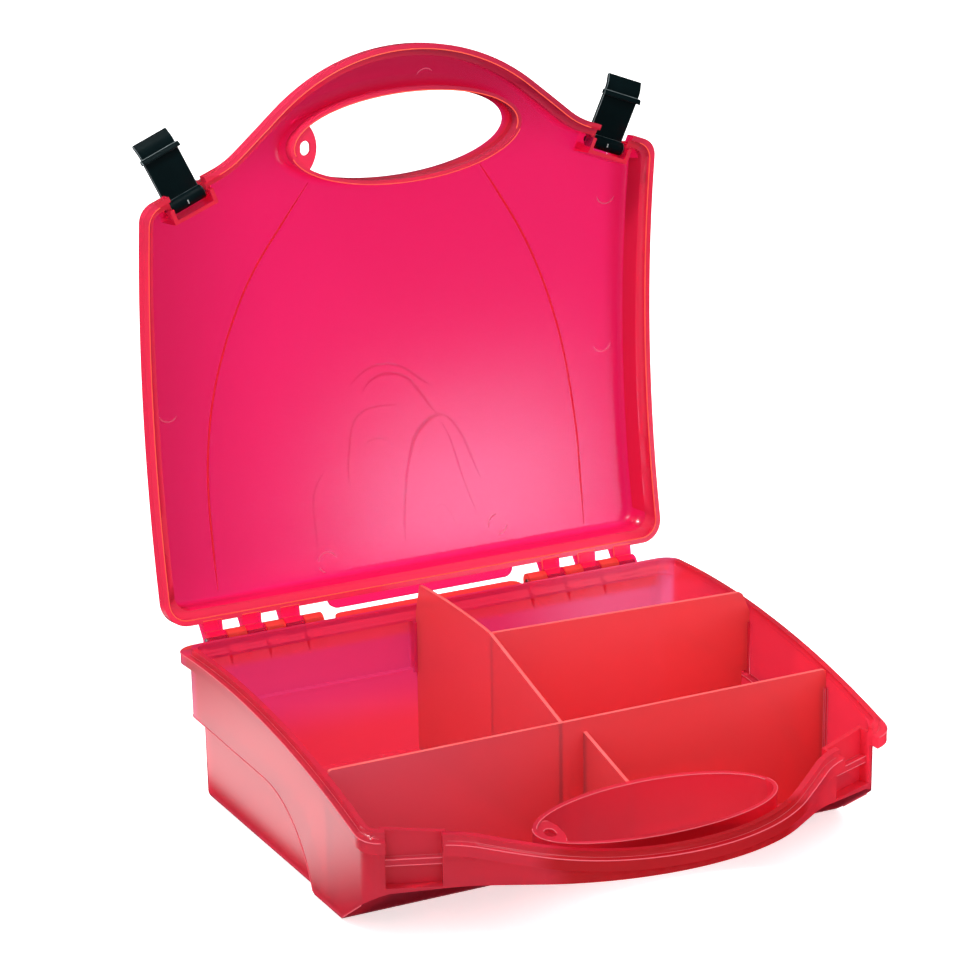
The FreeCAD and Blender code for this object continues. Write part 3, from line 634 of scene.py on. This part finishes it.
def smoothCopy(name, node, body, slotName):
    shape = mergedNode(node)
    bmesh.ops.dissolve_limit(
        shape,
        angle_limit=math.radians(smoothing["flatAngle"]),
        use_dissolve_boundaries=False,
        verts=shape.verts,
        edges=shape.edges,
    )
    if slotName == "latch_plastic":
        wearAndHighlightEdges(shape)
    if node == "lid_shell":
        cutTube(shape)
    mesh = toMesh(shape, name)
    shadeSmooth(mesh)
    mesh.set_sharp_from_angle(angle=math.radians(smoothing["sharpAngle"]))
    mesh.materials.append(finishes[slotName])
    if node == "lid_shell":
        paintLip(mesh)
    if slotName == "latch_plastic":
        mesh.materials.append(grainMaterial("wornAndHighlitLatch"))
    piece = addPiece(name, mesh, body)
    even = piece.modifiers.new("evenNormals", "WEIGHTED_NORMAL")
    even.weight = smoothing["normalWeight"]
    even.keep_sharp = True
    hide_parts(node)


for name, node, body, slotName in copies:
    smoothCopy(name, node, body, slotName)
print("shells copied")


# Marks moulded into the lid's panel, in millimetres, as x and z along it

millimetre = 0.001
markDrawing = {"halfWidth": 0.5, "tipShare": 0.3, "steps": 6, "castFrom": 0.06}
panelMarks = {
    "creaseLines": {
        "plastic": "creasePlastic",
        "flatness": 0.14,
        "rimAngle": 180,
        "paths": [
            # width, then points
            (1.1, [
                (-46, 292), (-60.5, 271), (-74.5, 250), (-84.5, 229.5), (-91.4, 211), (-98, 188),
                (-102, 165), (-103.8, 145), (-104.2, 114), (-104, 91),
            ]),
            (1.1, [
                (47.5, 292), (61, 272), (74.5, 250), (84.7, 228.5), (91.5, 210), (98, 186),
                (102.2, 159), (104, 140), (104.3, 114), (104, 91),
            ]),
        ],
    },
    "flowLines": {
        "plastic": "flowPlastic",
        "flatness": 0.035,
        "rimAngle": 40,  # keeps the thin lines' rims from shading dark
        "paths": [
            (1.5, [
                (1.1, 98.5), (1.5, 106.5), (2.5, 114.9), (4, 125.8), (6.8, 138.2), (10.5, 149.8),
                (15.5, 156.3), (23.8, 160.9), (29.8, 158.8), (35.6, 152), (40.2, 142.6), (43.7, 132.5),
                (47.6, 122.4),
            ]),
            (2.6, [(8.4, 142), (10.4, 149.4), (15, 155.6), (21, 159.3), (25.5, 160.2)]),
            (1.1, [
                (26.4, 156.9), (29.8, 150.3), (32.9, 141.1), (35.2, 131.3), (38, 122.2), (40.9, 112.3),
                (43.3, 105.9),
            ]),
            (1.4, [(-23.6, 183), (-15, 189.5), (-3.8, 191.3), (6.3, 188.1), (15.4, 181.1), (22.7, 175.7)]),
            (1.7, [
                (-17.3, 178.1), (-11.5, 184.2), (-1.2, 186), (8, 182.6), (15.1, 174.2), (20.4, 166.5),
                (23.9, 161.6),
            ]),
            (0.9, [(-18.6, 149.5), (-14.2, 152.8), (-6.7, 152.8), (-1.4, 149)]),
            (1.2, [
                (-27, 132.4), (-27.2, 140.1), (-25.4, 151.8), (-22.6, 163.4), (-16, 168.9), (-7.6, 170),
                (4.5, 168.8),
            ]),
            (1.2, [(-47.6, 101.7), (-47.8, 112.7), (-47.8, 126.3), (-45.3, 134.4), (-40.1, 141.2)]),
            (0.7, [(18.8, 111.9), (23, 114.2), (27.3, 110.1), (30, 103.7), (31.1, 101)]),
        ],
    },
}
ejectorPins = {
    "plastic": "ejectorPlastic",
    "radius": 5.2,
    "width": 0.7,
    "steps": 6,
    "flatness": 0.3,
    "rimAngle": 180,
    # x, z, first angle and last angle of the arc that shows
    "arcs": [
        (-122.5, 184.2, 200, 330), (122.5, 264.5, 190, 340), (121, 185.2, 200, 350), (-43, 95, 20, 170),
        (-43, 95, 200, 250), (54, 99, 90, 190), (54, 99, 270, 350), (15.9, 338.5, 40, 150),
    ],
}


def surfaceOf(node):
    shape = bmesh.new()
    shape.from_mesh(frame["nodes"][node].data)
    surface = BVHTree.FromBMesh(shape)
    shape.free()
    return surface


def drawLines(name, paths):
    curve = bpy.data.curves.new(name, "CURVE")
    curve.dimensions = "3D"
    curve.bevel_depth = markDrawing["halfWidth"]
    curve.bevel_resolution = 1
    curve.resolution_u = markDrawing["steps"]
    curve.use_fill_caps = True
    for width, path in paths:
        spline = curve.splines.new("BEZIER")
        spline.bezier_points.add(len(path) - 1)
        for point, (x, z) in zip(spline.bezier_points, path):
            point.co = (x, z, 0)
            point.handle_left_type = "AUTO"
            point.handle_right_type = "AUTO"
            point.radius = width
        for tip in (spline.bezier_points[0], spline.bezier_points[-1]):
            tip.radius = width * markDrawing["tipShare"]
    drawn = bpy.data.objects.new(name + "Drawn", curve)
    mesh = bpy.data.meshes.new_from_object(drawn)
    bpy.data.objects.remove(drawn)
    return mesh


def drapeLines(name, settings, paths):
    mesh = drawLines(name, paths)
    shape = bmesh.new()
    shape.from_mesh(mesh)
    surface = surfaceOf("lid_shell")
    for vert in shape.verts:
        start = Vector((vert.co.x * millimetre, markDrawing["castFrom"], vert.co.y * millimetre))
        spot, normal, face, reach = surface.ray_cast(start, Vector((0, 1, 0)))
        vert.co = spot + normal * vert.co.z * settings["flatness"] * millimetre
    bmesh.ops.recalc_face_normals(shape, faces=shape.faces)
    shape.to_mesh(mesh)
    shape.free()
    shadeSmooth(mesh)
    mesh.set_sharp_from_angle(angle=math.radians(settings["rimAngle"]))
    mesh.materials.clear()
    mesh.materials.append(clearPlastic(settings["plastic"]))
    addPiece(name, mesh, "lid")


def pinArcs():
    radius = ejectorPins["radius"]
    steps = ejectorPins["steps"]
    paths = []
    for x, z, first, last in ejectorPins["arcs"]:
        path = []
        for step in range(steps + 1):
            angle = math.radians(first + (last - first) * step / steps)
            path.append((x + radius * math.cos(angle), z + radius * math.sin(angle)))
        paths.append((ejectorPins["width"], path))
    return paths


for name, settings in panelMarks.items():
    drapeLines(name, settings, settings["paths"])
drapeLines("ejectorMarks", ejectorPins, pinArcs())
print("panel marks drawn")


# Painted highlights: pale strips along the dividers' top edges

edgeHighlights = {
    "nodes": ["front_divider", "centre_partition", "right_divider", "front_partition"],
    "thickness": 0.0002,
    "upward": 0.6,  # least z of a top face's normal
}


def paintEdgeHighlights():
    finish = clearPlastic("edgeHighlightPlastic")
    for node in edgeHighlights["nodes"]:
        name = "highlighted" + node.title().replace("_", "")
        shape = mergedNode(node)
        under = [face for face in shape.faces if face.normal.z < edgeHighlights["upward"]]
        bmesh.ops.delete(shape, geom=under, context="FACES")
        bmesh.ops.solidify(shape, geom=shape.faces, thickness=-edgeHighlights["thickness"])
        bmesh.ops.recalc_face_normals(shape, faces=shape.faces)
        mesh = toMesh(shape, name)
        mesh.materials.append(finish)
        addPiece(name, mesh, "tray")


paintEdgeHighlights()
print("divider edges scuffed")


# Painted highlights: light lines along the lips of the lid and the tray, the tray's ledges and the catches

rimHighlights = {
    "tolerance": 0.0009,
    "radius": 0.0003,
    "sink": 0.00018,
    "lipLevel": 0.7,  # least z of a lip face's normal
    "middleDepth": -0.02,
    "ledgeSide": 0.12,
    "ledgeHeights": (0.004, 0.05),
    "ledgeDepths": (-0.1, 0.09),
    "ledgeLeans": (0.6, 0.9),  # the ledge's face leans less than the first, the wall's more than the second
    "catchHeights": (0.038, 0.0435),
    "catchMiddle": 0.0403,
    "catchLevel": 0.9,
    "catchAhead": -0.5,
    "catchLift": Vector((0, 0.00012, 0.0005)),  # of the lower line, clear of the latch's hook
}
rimHighlightPieces = {
    "lidRimHighlight": {
        "node": "lid_shell",
        "body": "lid",
        "slot": "lid_plastic",
        "plastic": "lidRimHighlightPlastic",
        "turned": parting["opening"],
        "facing": -1,
        "inward": 1,
        "ledges": False,
    },
    "trayRimHighlight": {
        "node": "base_shell",
        "body": "tray",
        "slot": "tray_plastic",
        "plastic": "trayRimHighlightPlastic",
        "turned": 0,
        "facing": 1,
        "inward": -1,
        "ledges": True,
    },
}


def edgeMiddle(edge):
    return (edge.verts[0].co + edge.verts[1].co) / 2


def lipFace(face, facing):
    middle = face.calc_center_median()
    near = abs(middle.z - partingHeight(middle.y)) < rimHighlights["tolerance"]
    return near and face.normal.z * facing > rimHighlights["lipLevel"]


def ledgeEdge(edge):
    middle = edgeMiddle(edge)
    low, high = rimHighlights["ledgeHeights"]
    front, rear = rimHighlights["ledgeDepths"]
    if abs(middle.x) < rimHighlights["ledgeSide"] or not low < middle.z < high or not front < middle.y < rear:
        return False
    least, most = rimHighlights["ledgeLeans"]
    leans = sorted(abs(face.normal.x) for face in edge.link_faces)
    return leans[0] < least and leans[1] > most


def catchEdge(edge):
    middle = edgeMiddle(edge)
    low, high = rimHighlights["catchHeights"]
    if not nearLatch(middle) or not low < middle.z < high:
        return False
    level = any(abs(face.normal.z) > rimHighlights["catchLevel"] for face in edge.link_faces)
    ahead = any(face.normal.y < rimHighlights["catchAhead"] for face in edge.link_faces)
    return level and ahead


def lipEdge(edge, facing, inward):
    flat, side = edge.link_faces
    if lipFace(side, facing):
        flat, side = side, flat
    if lipFace(side, facing) or not lipFace(flat, facing):
        return False
    middle = edgeMiddle(edge)
    if nearLatch(middle):
        return False
    depth = middle.y - rimHighlights["middleDepth"]
    return -(side.normal.x * middle.x + side.normal.y * depth) * inward > 0


def litEdge(edge, settings):
    if len(edge.link_faces) != 2:
        return False
    if settings["ledges"] and (ledgeEdge(edge) or catchEdge(edge)):
        return True
    return lipEdge(edge, settings["facing"], settings["inward"])


def rimEdges(name, settings):
    shape = mergedNode(settings["node"])
    turn = Matrix.Rotation(math.radians(settings["turned"]), 4, "X")
    bmesh.ops.rotate(shape, verts=shape.verts, cent=parting["hinge"], matrix=turn)
    shape.normal_update()
    others = [edge for edge in shape.edges if not litEdge(edge, settings)]
    bmesh.ops.delete(shape, geom=others, context="EDGES")
    sink = Vector((0, 0, -rimHighlights["sink"] * settings["facing"]))
    bmesh.ops.translate(shape, verts=shape.verts, vec=sink)
    if settings["ledges"]:
        lower = [v for v in shape.verts if nearLatch(v.co) and v.co.z < rimHighlights["catchMiddle"]]
        bmesh.ops.translate(shape, verts=lower, vec=rimHighlights["catchLift"])
    bmesh.ops.rotate(shape, verts=shape.verts, cent=parting["hinge"], matrix=turn.inverted())
    return toMesh(shape, name + "Edges")


def drawRimHighlight(name, settings):
    drawn = bpy.data.objects.new(name + "Drawn", rimEdges(name, settings))
    scene.collection.objects.link(drawn)
    bpy.context.view_layer.objects.active = drawn
    drawn.select_set(True)
    bpy.ops.object.convert(target="CURVE")
    drawn.data.bevel_depth = rimHighlights["radius"]
    drawn.data.bevel_resolution = 1
    drawn.data.use_fill_caps = True
    mesh = bpy.data.meshes.new_from_object(drawn)
    bpy.data.objects.remove(drawn)
    shadeSmooth(mesh)
    mesh.materials.clear()
    mesh.materials.append(clearPlastic(settings["plastic"]))
    addPiece(name, mesh, settings["body"])


for name, settings in rimHighlightPieces.items():
    drawRimHighlight(name, settings)
print("rim lines drawn")


# Gate marks on the latches' barrels, and the walls behind the barrels

gateMarks = {"radius": 0.00028, "length": 0.0019, "segments": 12}
pocketWalls = {
    "size": (0.0186, 0.0008, 0.0036),
    "offset": Vector((0.00015, 0.0106, -0.0049)),  # from the barrel's middle, along it, back and up
    "rounding": 0.0003,
}


def barrelMiddle(side):
    return Vector(joints[side + "_latch_pivot"]["pos_m"])


def barrelTurn(side):
    x, y, z = joints[side + "_latch_pivot"]["axis"]
    return Matrix.Rotation(-math.atan2(z, x), 4, "Y")


def markGate(side, finish):
    middle = barrelMiddle(side)
    ahead = Vector((middle.x, 0, middle.z))
    spot, normal, face, reach = surfaceOf(side + "_latch").ray_cast(ahead, Vector((0, 1, 0)))
    shape = bmesh.new()
    bmesh.ops.create_cone(
        shape,
        cap_ends=True,
        cap_tris=False,
        segments=gateMarks["segments"],
        radius1=gateMarks["radius"],
        radius2=gateMarks["radius"],
        depth=gateMarks["length"],
        matrix=Matrix.Translation(spot) @ barrelTurn(side),
    )
    mesh = toMesh(shape, side + "GateMark")
    mesh.materials.append(finish)
    addPiece(side + "GateMark", mesh, side + "_latch")


def closePocket(side):
    turn = barrelTurn(side)
    offset = pocketWalls["offset"].copy()
    if side == "left":
        offset.x = -offset.x
    place = Matrix.Translation(barrelMiddle(side) + turn @ offset) @ turn
    shape = bmesh.new()
    bmesh.ops.create_cube(shape, size=1, matrix=place @ Matrix.Diagonal((*pocketWalls["size"], 1)))
    bmesh.ops.bevel(
        shape,
        geom=shape.edges,
        offset=pocketWalls["rounding"],
        offset_type="OFFSET",
        affect="EDGES",
        segments=2,
        profile=0.5,
        clamp_overlap=True,
        material=-1,
    )
    mesh = toMesh(shape, side + "PocketWall")
    shadeSmooth(mesh)
    mesh.materials.append(finishes["lid_plastic"])
    addPiece(side + "PocketWall", mesh, "lid")


gateFinish = grainMaterial("gateMark")
for side in ("left", "right"):
    markGate(side, gateFinish)
for side in ("left", "right"):
    closePocket(side)
print("latch marks and pockets done")
